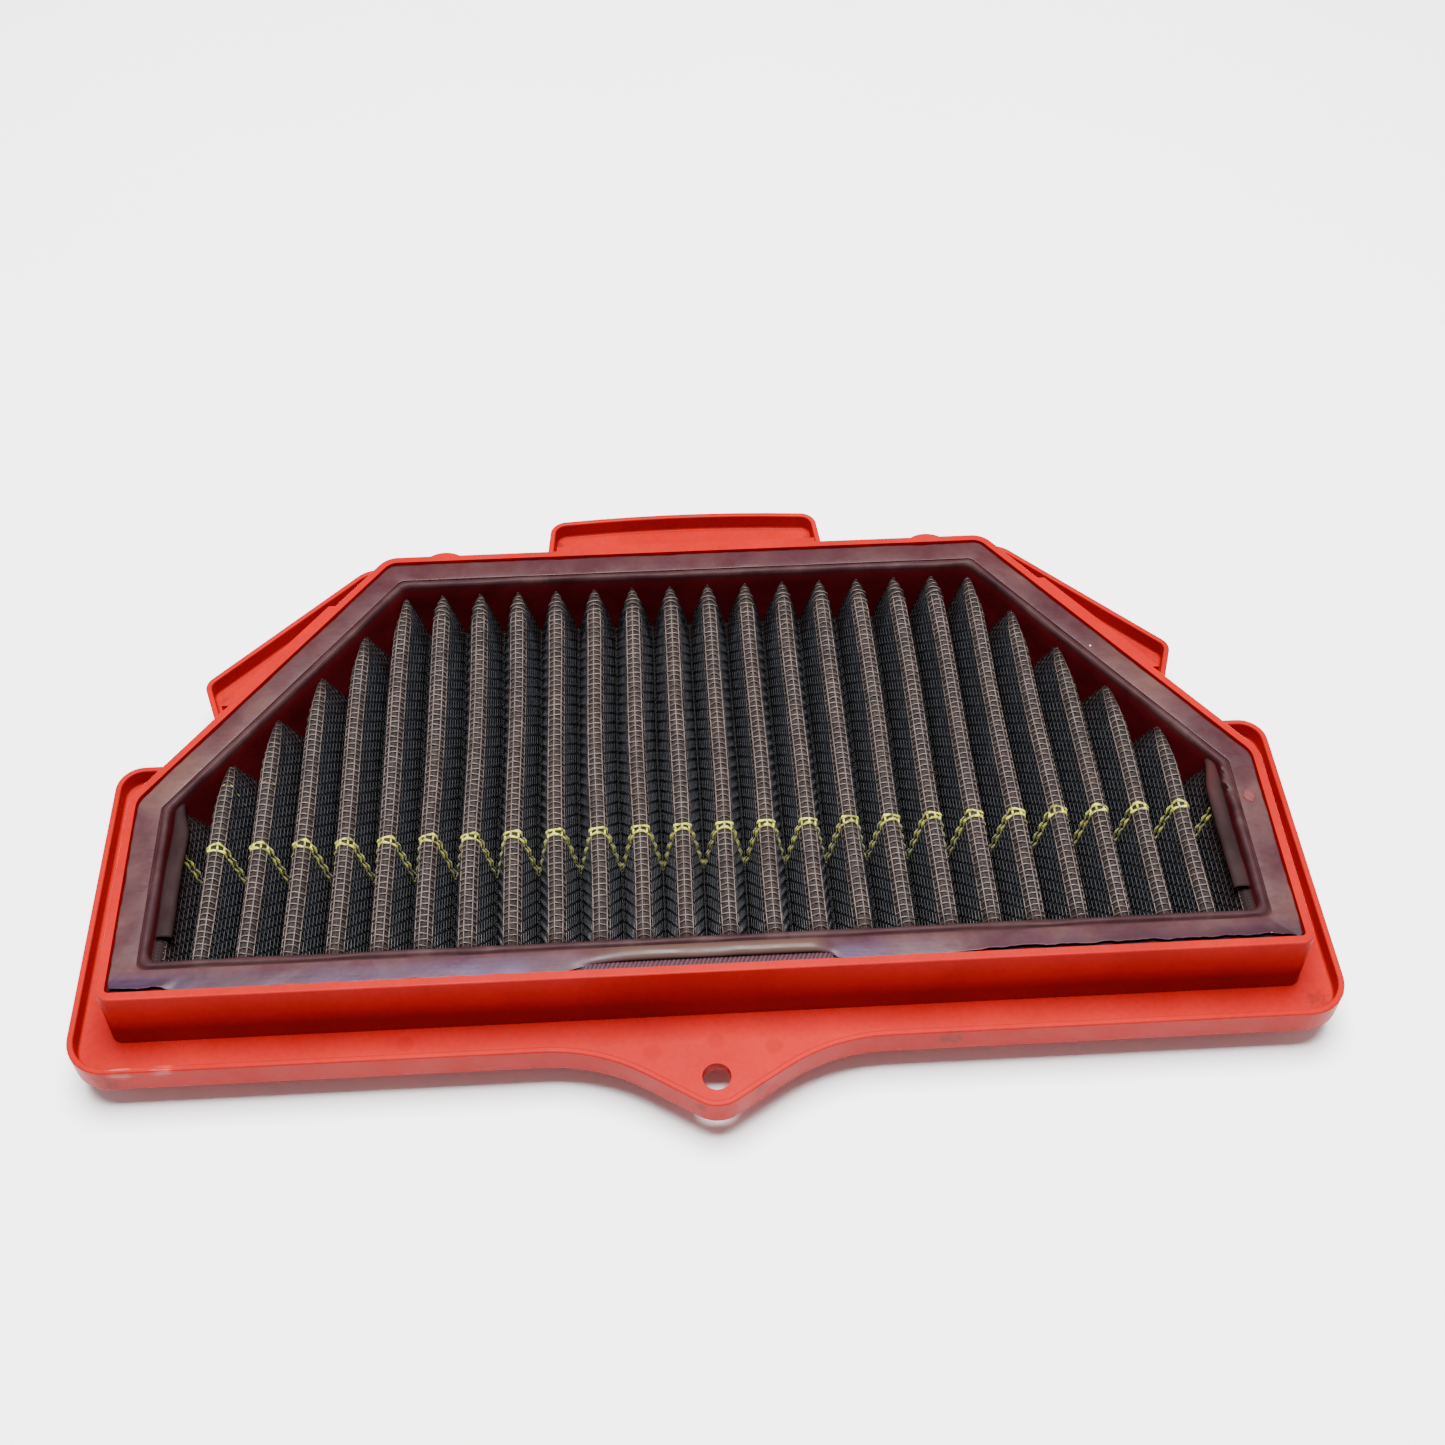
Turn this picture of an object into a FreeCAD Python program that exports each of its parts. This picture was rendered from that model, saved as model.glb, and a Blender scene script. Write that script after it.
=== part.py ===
import FreeCAD, Part
import math
import os
import re

import Sketcher

# Washable panel air filter for a motorcycle airbox, lying with its open side up.
# A moulded rubbery frame carries a pleated pack of two woven wire screens with four
# layers of cotton gauze between them. The pack is potted into the frame from both sides.
# Millimetres. +Z is up through the frame, +X runs along the wide front side, +Y points to
# the narrow back side, and the origin is the middle of the underside.

SIZES = {
    # Heights above the underside.
    "overall_height": 28.0,
    "flange_bottom": 8.2,
    "floor_level": 10.8,
    "lip_top": 15.4,
    # Six-sided box wall: outer outline at its open ends.
    "wall_front_half": 133.0,
    "wall_side_half": 133.6,
    "wall_back_half": 78.2,
    "wall_front": -65.25,
    "wall_side": -10.45,
    "wall_back": 65.45,
    "wall_front_round": 3.0,
    "wall_side_round": 8.0,
    "wall_back_round": 6.0,
    "wall_draft": 1.3,
    "land_width": 2.0,
    "core_width": 8.0,
    "recess_depth": 3.2,
    # Flange outline, from the front tab round to the back ear.
    "tab_tip": -92.15,
    "tab_half": 25.8,
    "flange_front": -75.75,
    "flange_half": 141.8,
    "flange_rear": 9.05,
    "shoulder_half": 127.8,
    "notch_half": 119.4,
    "notch_rear": 20.35,
    "ear_half": 124.4,
    "ear_rear": 35.35,
    "back_half": 85.8,
    "back_edge": 73.95,
    "back_ear_root": 37.5,
    "back_ear_half": 36.2,
    "back_ear_rear": 89.1,
    "back_ear_arch": 400.0,
    "tab_tip_round": 7.6,
    "tab_root_round": 42.0,
    "front_corner_round": 9.5,
    "rear_corner_round": 6.5,
    "shoulder_round": 2.0,
    "notch_round": 3.0,
    "ear_round": 4.0,
    "back_round": 8.0,
    "back_root_round": 2.0,
    "back_ear_round": 4.5,
    "lip_width": 1.45,
    "lip_round": 0.45,
    "lip_foot_round": 0.6,
    "edge_round": 0.35,
    # Screw hole of the tab.
    "screw_hole_diameter": 6.4,
    "screw_hole_front": -81.25,
    # Pads behind the ears, ribs on the back face, bead under the flange.
    "pad_proud": 1.2,
    "side_pad_front": 16.75,
    "side_pad_back": 48.75,
    "back_pad_half": 33.8,
    "rib_radius": 6.6,
    "rib_proud": 1.0,
    "rib_half": 63.0,
    "bead_inner": 3.0,
    "bead_outer": 5.0,
    "bead_height": 1.0,
    "bead_round": 0.7,
    # Potting rings and the film on them.
    "potting_clear": 2.1,
    "potting_height": 2.1,
    "skirt_width": 10.0,
    "skirt_top": 27.6,
    "skirt_bottom": 14.1,
    "skirt_round": 0.6,
    "film_outer": 2.3,
    "film_inner": 7.6,
    "film_thickness": 0.6,
    "film_round": 0.25,
    "least_round": 1.0,
    # Stretch of film that is rolled back at the front, and the bare hem before it.
    "roll_shift": -0.9,
    "roll_front": -63.1,
    "roll_back": -57.35,
    "roll_foot_half": 30.0,
    "roll_back_half": 25.0,
    "roll_back_round": 6.0,
    "roll_height": 1.1,
    "roll_round": 0.5,
    "bare_back": -61.05,
    "bare_foot_half": 27.8,
    "bare_back_half": 22.6,
    "bare_round": 3.0,
    "hem_thickness": 0.4,
    # Pleated pack.
    "pleat_count": 24,
    "pleat_pitch": 9.8,
    "pleat_top": 23.9,
    "pleat_height": 16.0,
    "fold_radius": 1.2,
    "pack_inset": 10.05,
    "pack_thickness": 2.0,
    "screen_thickness": 0.4,
    "cotton_thickness": 0.2,
    "thread_space": 0.3,
    "layer_gap": 0.02,
    "thread_width": 0.9,
    "front_thread": -23.25,
    "rear_thread": -4.25,
    # Strips that close the outermost half pleats.
    "strip_width": 3.6,
    "strip_thickness": 1.0,
    "strip_front": -47.75,
    "strip_rear": -10.75,
    "strip_edge": 122.95,
    "strip_level": 24.95,
}

# Corners of the right half of each outline, front to back: x, y and rounding.
WALL = [
    ("wall_front_half", "wall_front", "wall_front_round"),
    ("wall_side_half", "wall_side", "wall_side_round"),
    ("wall_back_half", "wall_back", "wall_back_round"),
]
FLANGE = [
    ("0", "tab_tip", "tab_tip_round"),
    ("tab_half", "flange_front", "tab_root_round"),
    ("flange_half", "flange_front", "front_corner_round"),
    ("flange_half", "flange_rear", "rear_corner_round"),
    ("shoulder_half", "flange_rear", "shoulder_round"),
    ("notch_half", "notch_rear", "notch_round"),
    ("ear_half", "ear_rear", "ear_round"),
    ("back_half", "back_edge", "back_round"),
    ("back_ear_root", "back_edge", "back_root_round"),
    ("back_ear_half", "back_ear_rear", "back_ear_round"),
]
ROLL = [
    ("roll_foot_half", "roll_front", "0"),
    ("roll_back_half", "roll_back", "roll_back_round"),
]
BARE = [
    ("bare_foot_half", "roll_front", "0"),
    ("bare_back_half", "bare_back", "bare_round"),
]
Y_AXIS = -2
COTTON_LAYERS = 4

doc = FreeCAD.newDocument("air_filter")
sheet = doc.addObject("Spreadsheet::Sheet", "dims")
for row, (alias, value) in enumerate(SIZES.items(), start=1):
    sheet.set(f"A{row}", alias)
    sheet.set(f"B{row}", str(value))
    sheet.setAlias(f"B{row}", alias)
doc.recompute()


def bound(expression):
    """The expression with every size in it looked up in the sheet."""
    return re.sub(r"[a-z]+(?:_[a-z]+)+", r"dims.\g<0>", expression)


def size(expression):
    """The number an expression of sheet sizes comes to."""
    return float(sheet.evalExpression(bound(expression)))


def add(kind, name, links=None, **expressions):
    """A document object with its links set and its properties bound to the sheet."""
    thing = doc.addObject(kind, name)
    for key, value in (links or {}).items():
        setattr(thing, key, value)
    for key, expression in expressions.items():
        thing.setExpression(key, bound(expression))
    return thing


def moved(thing, x="0", y="0", z="0"):
    """The object with its position bound to the sheet."""
    for axis, expression in (("x", x), ("y", y), ("z", z)):
        thing.setExpression(f"Placement.Base.{axis}", bound(expression))
    return thing


def outline_sketch(name, corners, level, arch=None):
    """Closed outline through the corners, mirrored across the Y axis, at a level.

    With arch, the last stretch is an arc of that radius instead of a straight line.
    """
    sketch = moved(doc.addObject("Sketcher::SketchObject", name), z=level)
    right = [FreeCAD.Vector(size(x), size(y), 0) for x, y, radius in corners]
    points = right + [FreeCAD.Vector(-p.x, p.y, 0) for p in reversed(right) if p.x]
    count = len(points)
    for number, start in enumerate(points):
        end = points[(number + 1) % count]
        if arch and number == len(right) - 1:
            rise = size(arch) - math.sqrt(size(arch) ** 2 - start.x**2)
            side = Part.Arc(start, FreeCAD.Vector(0, start.y + rise, 0), end)
        else:
            side = Part.LineSegment(start, end)
        sketch.addGeometry(side)
    for number in range(count):
        sketch.addConstraint(Sketcher.Constraint("Coincident", number, 2, (number + 1) % count, 1))
    for number, (x, y, radius) in enumerate(corners):
        if right[number].x:
            across = sketch.addConstraint(
                Sketcher.Constraint("DistanceX", number, 1, right[number].x)
            )
            sketch.setExpression(f"Constraints[{across}]", bound(x))
            twin = points.index(FreeCAD.Vector(-right[number].x, right[number].y, 0))
            sketch.addConstraint(Sketcher.Constraint("Symmetric", number, 1, twin, 1, Y_AXIS))
        else:
            sketch.addConstraint(Sketcher.Constraint("PointOnObject", number, 1, Y_AXIS))
        along = sketch.addConstraint(Sketcher.Constraint("DistanceY", number, 1, right[number].y))
        sketch.setExpression(f"Constraints[{along}]", bound(y))
    if arch:
        bend = sketch.addConstraint(Sketcher.Constraint("Radius", len(right) - 1, size(arch)))
        sketch.setExpression(f"Constraints[{bend}]", bound(arch))
    return sketch


def corner_rounds(corners, inset):
    """Corner points of the whole outline, each with its rounding at an inset."""
    right = [(size(x), size(y), size(radius)) for x, y, radius in corners]
    whole = right + [(-x, y, radius) for x, y, radius in reversed(right) if x]
    rounds = []
    for number, (x, y, radius) in enumerate(whole):
        before = whole[number - 1]
        after = whole[(number + 1) % len(whole)]
        turn = (x - before[0]) * (after[1] - y) - (y - before[1]) * (after[0] - x)
        bent = radius - inset if turn > 0 else radius + inset
        rounds.append((x, y, max(bent, size("least_round")) if radius else None))
    return rounds


def rounded(name, solid, picks):
    """The solid with some edges rounded: picks gives each edge its radius or None."""
    edges = []
    for number, edge in enumerate(solid.Shape.Edges, start=1):
        radius = picks(edge)
        if radius:
            edges.append((number, radius, radius))
    return add("Part::Fillet", name, {"Base": solid, "Edges": edges})


def prism(name, corners, start, length, inset="0", draft=None, upward=True, arch=None):
    """Solid over an outline, with rounded upright corners."""
    base = outline_sketch(f"{name}_outline", corners, start, arch)
    doc.recompute()
    if inset != "0":
        base = add(
            "Part::Offset2D",
            f"{name}_inset",
            {"Source": base, "Join": "Intersection"},
            Value=f"-({inset})",
        )
    block = add(
        "Part::Extrusion",
        f"{name}_block",
        {
            "Base": base,
            "DirMode": "Custom",
            "Dir": FreeCAD.Vector(0, 0, 1 if upward else -1),
            "Solid": True,
        },
        LengthFwd=length,
    )
    if draft:
        block.setExpression("TaperAngle", bound(draft))
    doc.recompute()
    rounds = corner_rounds(corners, size(inset))

    def upright(edge):
        """Rounding of an edge that runs up the solid, at the corner nearest to it."""
        ends = [vertex.Point for vertex in edge.Vertexes]
        rise = abs(ends[0].z - ends[-1].z)
        if rise < edge.Length / 2:
            return None
        near = min(rounds, key=lambda corner: math.hypot(corner[0] - ends[0].x, corner[1] - ends[0].y))
        return near[2]

    return rounded(f"{name}_rounded", block, upright)


def box(name, left, right, front, back, bottom, top):
    """Block between six bound faces."""
    block = add(
        "Part::Box",
        name,
        Length=f"({right}) - ({left})",
        Width=f"({back}) - ({front})",
        Height=f"({top}) - ({bottom})",
    )
    return moved(block, left, front, bottom)


def fused(name, *solids):
    return add("Part::MultiFuse", name, {"Shapes": list(solids)})


def common(name, *solids):
    return add("Part::MultiCommon", name, {"Shapes": list(solids)})


def cut(name, solid, *tools):
    """The solid less all the tools."""
    tool = tools[0] if len(tools) == 1 else fused(f"{name}_tools", *tools)
    return add("Part::Cut", name, {"Base": solid, "Tool": tool})


def level_edges(level, radius):
    """Picks the edges that lie flat at a level."""
    height = size(level)

    def flat(edge):
        box = edge.BoundBox
        lies_there = abs(box.ZMin - height) < 0.01 and abs(box.ZMax - height) < 0.01
        return size(radius) if lies_there else None

    return flat


# The moulded frame: a flange with a raised lip, and a box wall that runs above and below it.
tray_block = prism(
    "tray", FLANGE, "flange_bottom", "lip_top - flange_bottom", arch="back_ear_arch"
)
tray_pocket = prism(
    "pocket", FLANGE, "floor_level", "overall_height", inset="lip_width", arch="back_ear_arch"
)
tray_sharp = cut("tray_sharp", tray_block, tray_pocket)
doc.recompute()
tray_lip = rounded("tray_lip", tray_sharp, level_edges("lip_top", "lip_round"))
doc.recompute()
tray_foot = rounded("tray_foot", tray_lip, level_edges("floor_level", "lip_foot_round"))
doc.recompute()
tray = rounded("tray_edge", tray_foot, level_edges("flange_bottom", "edge_round"))

upper_wall_sharp = prism(
    "upper_wall",
    WALL,
    "overall_height",
    "overall_height - floor_level + 1",
    draft="wall_draft",
    upward=False,
)
lower_wall_sharp = prism("lower_wall", WALL, "0", "flange_bottom + 1", draft="wall_draft")
doc.recompute()
upper_wall = rounded("upper_wall_edge", upper_wall_sharp, level_edges("overall_height", "edge_round"))
lower_wall = rounded("lower_wall_edge", lower_wall_sharp, level_edges("0", "edge_round"))

pad_envelope = prism(
    "pad",
    WALL,
    "overall_height",
    "overall_height - floor_level + 1",
    inset="-pad_proud",
    upward=False,
)
pad_zones = fused(
    "pad_zones",
    box(
        "side_pad_zone",
        "-wall_side_half",
        "wall_side_half",
        "side_pad_front",
        "side_pad_back",
        "flange_bottom",
        "overall_height",
    ),
    box(
        "back_pad_zone",
        "-back_pad_half",
        "back_pad_half",
        "side_pad_back",
        "back_edge",
        "flange_bottom",
        "overall_height",
    ),
)
pads = common("pads", pad_envelope, pad_zones)

ribs = []
for side, place in (("left", "-rib_half"), ("right", "rib_half")):
    rib = add(
        "Part::Cylinder",
        f"rib_{side}",
        Radius="rib_radius",
        Height="overall_height - floor_level + 1",
    )
    ribs.append(moved(rib, place, "wall_back + rib_proud - rib_radius", "floor_level - 1"))

bead_level = "flange_bottom - bead_height"
bead_block = prism("bead", WALL, bead_level, "bead_height + 1", inset="-bead_outer")
bead_hollow = prism("bead_hollow", WALL, bead_level, "bead_height + 1", inset="-bead_inner")
bead_sharp = cut("bead_sharp", bead_block, bead_hollow)
doc.recompute()
bead = rounded("bead_ring", bead_sharp, level_edges(bead_level, "bead_round"))

core_opening = prism("core", WALL, "0", "overall_height", inset="core_width")
upper_recess = prism(
    "upper_recess", WALL, "overall_height - recess_depth", "recess_depth", inset="land_width"
)
lower_recess = prism("lower_recess", WALL, "0", "recess_depth", inset="land_width")
screw_hole = add(
    "Part::Cylinder",
    "screw_hole",
    Radius="screw_hole_diameter / 2",
    Height="floor_level - flange_bottom",
)
moved(screw_hole, "0", "screw_hole_front", "flange_bottom")

frame = cut(
    "frame",
    fused("frame_solid", tray, upper_wall, lower_wall, pads, bead, *ribs),
    core_opening,
    upper_recess,
    lower_recess,
    screw_hole,
)

# Potting: a ring in the recess of the frame with a skirt that hangs down inside the core.
ring_level = "overall_height - recess_depth"
pack_opening = prism("pack_opening", WALL, "0", "overall_height", inset="skirt_width")
potting_plate = prism(
    "potting_plate", WALL, ring_level, "potting_height", inset="potting_clear"
)
potting_skirt = prism(
    "potting_skirt", WALL, "skirt_bottom", "skirt_top - skirt_bottom", inset="core_width"
)
potting_sharp = cut(
    "potting_sharp", fused("potting_solid", potting_plate, potting_skirt), pack_opening
)
doc.recompute()
potting_upper = rounded("potting_upper", potting_sharp, level_edges("skirt_top", "skirt_round"))

# Film over each potting ring. At the front a stretch of the upper one is rolled back.
film_level = "overall_height - recess_depth + potting_height"
film_outer = prism("film_outer", WALL, film_level, "film_thickness", inset="film_outer")
film_inner = prism("film_inner", WALL, film_level, "film_thickness", inset="film_inner")
film_sharp = cut("film_sharp", film_outer, film_inner)
doc.recompute()
film_whole = rounded(
    "film_whole", film_sharp, level_edges(f"{film_level} + film_thickness", "film_round")
)


def mirrored(name, thing):
    """The same solid on the underside."""
    twin = add("Part::Mirroring", name, {"Source": thing, "Normal": FreeCAD.Vector(0, 0, 1)})
    twin.setExpression("Base.z", bound("overall_height / 2"))
    return twin


potting_lower = mirrored("potting_lower", potting_upper)
film_lower = mirrored("film_lower", film_whole)

roll_block = prism("roll", ROLL, film_level, "roll_height")
bare_block = prism("bare", BARE, film_level, "roll_height")
roll_sharp = cut("roll_sharp", roll_block, bare_block)
doc.recompute()
film_roll = rounded(
    "film_roll", roll_sharp, level_edges(f"{film_level} + roll_height", "roll_round")
)
film_gap = moved(prism("film_gap", ROLL, film_level, "film_thickness"), "roll_shift")
film_upper = cut("film_upper", film_whole, film_gap)
screen_hem = prism("hem", BARE, film_level, "hem_thickness")
for thing in (film_roll, screen_hem):
    moved(thing, "roll_shift")

# Strips over the outermost half pleats.
end_strips = {}
for side, left, right in (
    ("left", "-strip_edge", "strip_width - strip_edge"),
    ("right", "strip_edge - strip_width", "strip_edge"),
):
    strip = box(
        f"strip_{side}",
        left,
        right,
        "strip_front",
        "strip_rear",
        "strip_level",
        "strip_level + strip_thickness",
    )
    doc.recompute()
    end_strips[side] = rounded(
        f"strip_{side}_rounded",
        strip,
        level_edges("strip_level + strip_thickness", "edge_round"),
    )

# The pleated pack. Every layer follows one folded middle line at its own distance from it.
pack_block = prism("pack", WALL, "0", "overall_height", inset="pack_inset")


def fold_line(offset):
    """Edges of the folded line at a distance above the middle one, from left to right."""
    radius = size("fold_radius")
    half_pitch = size("pleat_pitch / 2")
    drop = size("pleat_height") - 2 * radius
    middle = size("pleat_top - pleat_height / 2")
    lean = math.atan2(half_pitch, drop) - math.asin(2 * radius / math.hypot(half_pitch, drop))
    last = int(size("pleat_count")) + 1
    edges = []
    end = FreeCAD.Vector(-size("wall_side_half"), 0, middle + drop / 2 + radius + offset)
    for fold in range(-last, last + 1):
        up = 1 if fold % 2 else -1
        reach = radius + up * offset
        centre = FreeCAD.Vector(fold * half_pitch, 0, middle + up * drop / 2)
        side = FreeCAD.Vector(math.cos(lean), 0, up * math.sin(lean)) * reach
        crown = centre + FreeCAD.Vector(0, 0, up * reach)
        start = centre + FreeCAD.Vector(-side.x, 0, side.z)
        finish = centre + side
        if fold == -last:
            edges.append(Part.LineSegment(end, crown).toShape())
            quarter = FreeCAD.Vector(reach, 0, up * reach) * math.sqrt(0.5)
            edges.append(Part.Arc(crown, centre + quarter, finish).toShape())
        elif fold == last:
            edges.append(Part.LineSegment(end, start).toShape())
            quarter = FreeCAD.Vector(-reach, 0, up * reach) * math.sqrt(0.5)
            edges.append(Part.Arc(start, centre + quarter, crown).toShape())
            far = FreeCAD.Vector(size("wall_side_half"), 0, crown.z)
            edges.append(Part.LineSegment(crown, far).toShape())
        else:
            edges.append(Part.LineSegment(end, start).toShape())
            edges.append(Part.Arc(start, crown, finish).toShape())
        end = finish
    return edges


def pleated(name, above, thickness, start, depth):
    """Folded sheet of the pack between two distances from front to back."""
    upper = fold_line(above)
    lower = fold_line(above - thickness)
    right_end = Part.LineSegment(upper[-1].Vertexes[-1].Point, lower[-1].Vertexes[-1].Point)
    left_end = Part.LineSegment(upper[0].Vertexes[0].Point, lower[0].Vertexes[0].Point)
    ring = upper + [right_end.toShape()] + lower[::-1] + [left_end.toShape()]
    profile = doc.addObject("Part::Feature", f"{name}_profile")
    profile.Shape = Part.Face(Part.Wire(ring))
    moved(profile, y=start)
    sheet_block = add(
        "Part::Extrusion",
        f"{name}_block",
        {
            "Base": profile,
            "DirMode": "Custom",
            "Dir": FreeCAD.Vector(0, 1, 0),
            "Solid": True,
        },
        LengthFwd=depth,
    )
    return common(f"{name}_sheet", sheet_block, pack_block)


layers = {}
top = size("pack_thickness / 2")
layers["upper_screen"] = pleated(
    "upper_screen", top, size("screen_thickness"), "wall_front", "wall_back - wall_front"
)
thread_top = top - size("screen_thickness + layer_gap")
thread_thickness = size("thread_space - 2 * layer_gap")
for name, place in (("front", "front_thread"), ("rear", "rear_thread")):
    layers[f"tracer_thread_{name}"] = pleated(
        f"thread_{name}",
        thread_top,
        thread_thickness,
        f"{place} - thread_width / 2",
        "thread_width",
    )
top -= size("screen_thickness + thread_space")
for number in range(1, COTTON_LAYERS + 1):
    layers[f"cotton_layer_{number}"] = pleated(
        f"cotton_{number}",
        top,
        size("cotton_thickness"),
        "wall_front",
        "wall_back - wall_front",
    )
    top -= size("cotton_thickness + layer_gap")
layers["lower_screen"] = pleated(
    "lower_screen", top, size("screen_thickness"), "wall_front", "wall_back - wall_front"
)

pieces = {
    "moulded_frame": frame,
    "potting_ring_upper": potting_upper,
    "potting_ring_lower": potting_lower,
    "seal_film_upper": film_upper,
    "seal_film_lower": film_lower,
    "film_roll_front": film_roll,
    "screen_hem_front": screen_hem,
    "end_strip_left": end_strips["left"],
    "end_strip_right": end_strips["right"],
    **layers,
}
doc.recompute()
for thing in doc.Objects:
    if {"Invalid", "Error"} & set(thing.State):
        raise RuntimeError(f"{thing.Name} did not build")
os.makedirs("parts", exist_ok=True)
for name, piece in pieces.items():
    if piece.Shape.isNull() or not piece.Shape.isValid():
        raise RuntimeError(f"{name} has no valid shape")
    piece.Label = name
    piece.Shape.exportStep(f"parts/{name}.step")
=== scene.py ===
import math

import bmesh
import bpy
import numpy as np
from mathutils import Matrix, Vector


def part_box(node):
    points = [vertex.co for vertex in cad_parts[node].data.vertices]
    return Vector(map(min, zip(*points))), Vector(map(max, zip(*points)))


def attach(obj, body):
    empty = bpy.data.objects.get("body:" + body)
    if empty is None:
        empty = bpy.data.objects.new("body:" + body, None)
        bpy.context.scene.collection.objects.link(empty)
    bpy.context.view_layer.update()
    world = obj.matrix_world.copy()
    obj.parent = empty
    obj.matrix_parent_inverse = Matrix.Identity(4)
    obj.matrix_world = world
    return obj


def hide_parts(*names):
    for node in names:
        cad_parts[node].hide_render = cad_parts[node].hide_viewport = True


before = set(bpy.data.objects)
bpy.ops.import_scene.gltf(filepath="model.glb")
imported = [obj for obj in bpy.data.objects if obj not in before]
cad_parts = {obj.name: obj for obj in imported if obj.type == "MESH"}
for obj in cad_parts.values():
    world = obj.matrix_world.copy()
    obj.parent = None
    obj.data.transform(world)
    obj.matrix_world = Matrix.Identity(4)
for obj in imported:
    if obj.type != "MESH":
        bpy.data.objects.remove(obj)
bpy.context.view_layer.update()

# Sizes in millimetres, in the part's own frame: X along the wide front side, Y to the back,
# Z up, and the origin in the middle of the underside.
MM = 0.001
SCREEN_LOW, SCREEN_HIGH = (np.array(corner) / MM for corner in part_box("upper_screen"))
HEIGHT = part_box("moulded_frame")[1][2] / MM

# Outline of the box wall: corner and rounding, counter-clockwise from the front right.
WALL = (
    (133.0, -65.25, 3.0),
    (133.6, -10.45, 8.0),
    (78.2, 65.45, 6.0),
    (-78.2, 65.45, 6.0),
    (-133.6, -10.45, 8.0),
    (-133.0, -65.25, 3.0),
)
SKIRT_INSET = 10.0

# The folded pack.
PITCH = 9.8
FOLD_RADIUS = 1.2
PLEAT_TOP = SCREEN_HIGH[2] - 1.0
PLEAT_FOOT = SCREEN_LOW[2] - 0.6
LAST_FOLD = 25
WIRE_RADIUS = 0.185
WEAVE_RISE = 0.17
SCREEN_OFFSET = 0.72
WARP_STEP = 1.96
WEFT_STEP = 1.5875
FRONT_TRACER = -23.25
REAR_TRACER = -4.25
ROLL_SPAN = (-28.7, 26.9)
WIRE_REACH = 121.0


# ---------------------------------------------------------------- meshes


def smooth_step(low, high, value):
    t = np.clip((np.asarray(value, float) - low) / (high - low), 0.0, 1.0)
    return t * t * (3.0 - 2.0 * t)


def ripple(along, length, seed):
    """Gentle uneven wave between about -1 and 1: several sines with seeded phases."""
    phases = np.random.default_rng(seed).uniform(0.0, 2.0 * math.pi, 5)
    total = sum(
        np.sin(2.0 * math.pi * np.asarray(along) * (1.0 + 0.73 * k) / length + phases[k]) / (1.0 + k)
        for k in range(5)
    )
    return total / 1.6


def piece(name, points, faces, material, crease=None, uv=None, values=None):
    """Mesh object from points in millimetres, riding on the part.

    With crease, edges that bend by more than that many degrees look sharp.
    """
    mesh = bpy.data.meshes.new(name)
    mesh.from_pydata((np.asarray(points, float) * MM).tolist(), [], faces)
    if uv is not None:
        layer = mesh.uv_layers.new(name="weave")
        corners = np.zeros(len(mesh.loops), int)
        mesh.loops.foreach_get("vertex_index", corners)
        layer.data.foreach_set("uv", np.asarray(uv, float)[corners].ravel())
    for key, numbers in (values or {}).items():
        field = mesh.attributes.new(key, "FLOAT", "POINT")
        field.data.foreach_set("value", np.asarray(numbers, float))
    mesh.shade_smooth()
    if crease:
        mesh.set_sharp_from_angle(angle=math.radians(crease))
    mesh.materials.append(material)
    thing = bpy.data.objects.new(name, mesh)
    bpy.context.scene.collection.objects.link(thing)
    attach(thing, "root")
    return thing


def grid_faces(rows, columns, wrap_rows=False, wrap_columns=False, start=0):
    """Quads of a grid of points stored row by row."""
    faces = []
    for row in range(rows if wrap_rows else rows - 1):
        here = start + row * columns
        there = start + (row + 1) % rows * columns
        for column in range(columns if wrap_columns else columns - 1):
            beside = (column + 1) % columns
            faces.append((here + column, here + beside, there + beside, there + column))
    return faces


def tubes(paths, radii, sides=4):
    """Points and faces of closed tubes. Each path gives points, and two directions across it."""
    turn = np.arange(sides) * 2.0 * math.pi / sides + math.pi / 4.0
    points, faces = [], []
    start = 0
    for (line, side, rise), radius in zip(paths, radii):
        width = np.broadcast_to(radius, len(line))[:, None, None]
        ring = (
            line[:, None, :]
            + width * np.cos(turn)[None, :, None] * side[:, None, :]
            + width * np.sin(turn)[None, :, None] * rise[:, None, :]
        )
        points.append(ring.reshape(-1, 3))
        faces += grid_faces(len(line), sides, wrap_columns=True, start=start)
        faces.append(tuple(range(start + sides - 1, start - 1, -1)))
        end = start + len(line) * sides
        faces.append(tuple(range(end - sides, end)))
        start = end
    return np.concatenate(points), faces


# ---------------------------------------------------------------- the folded sheet


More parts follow.
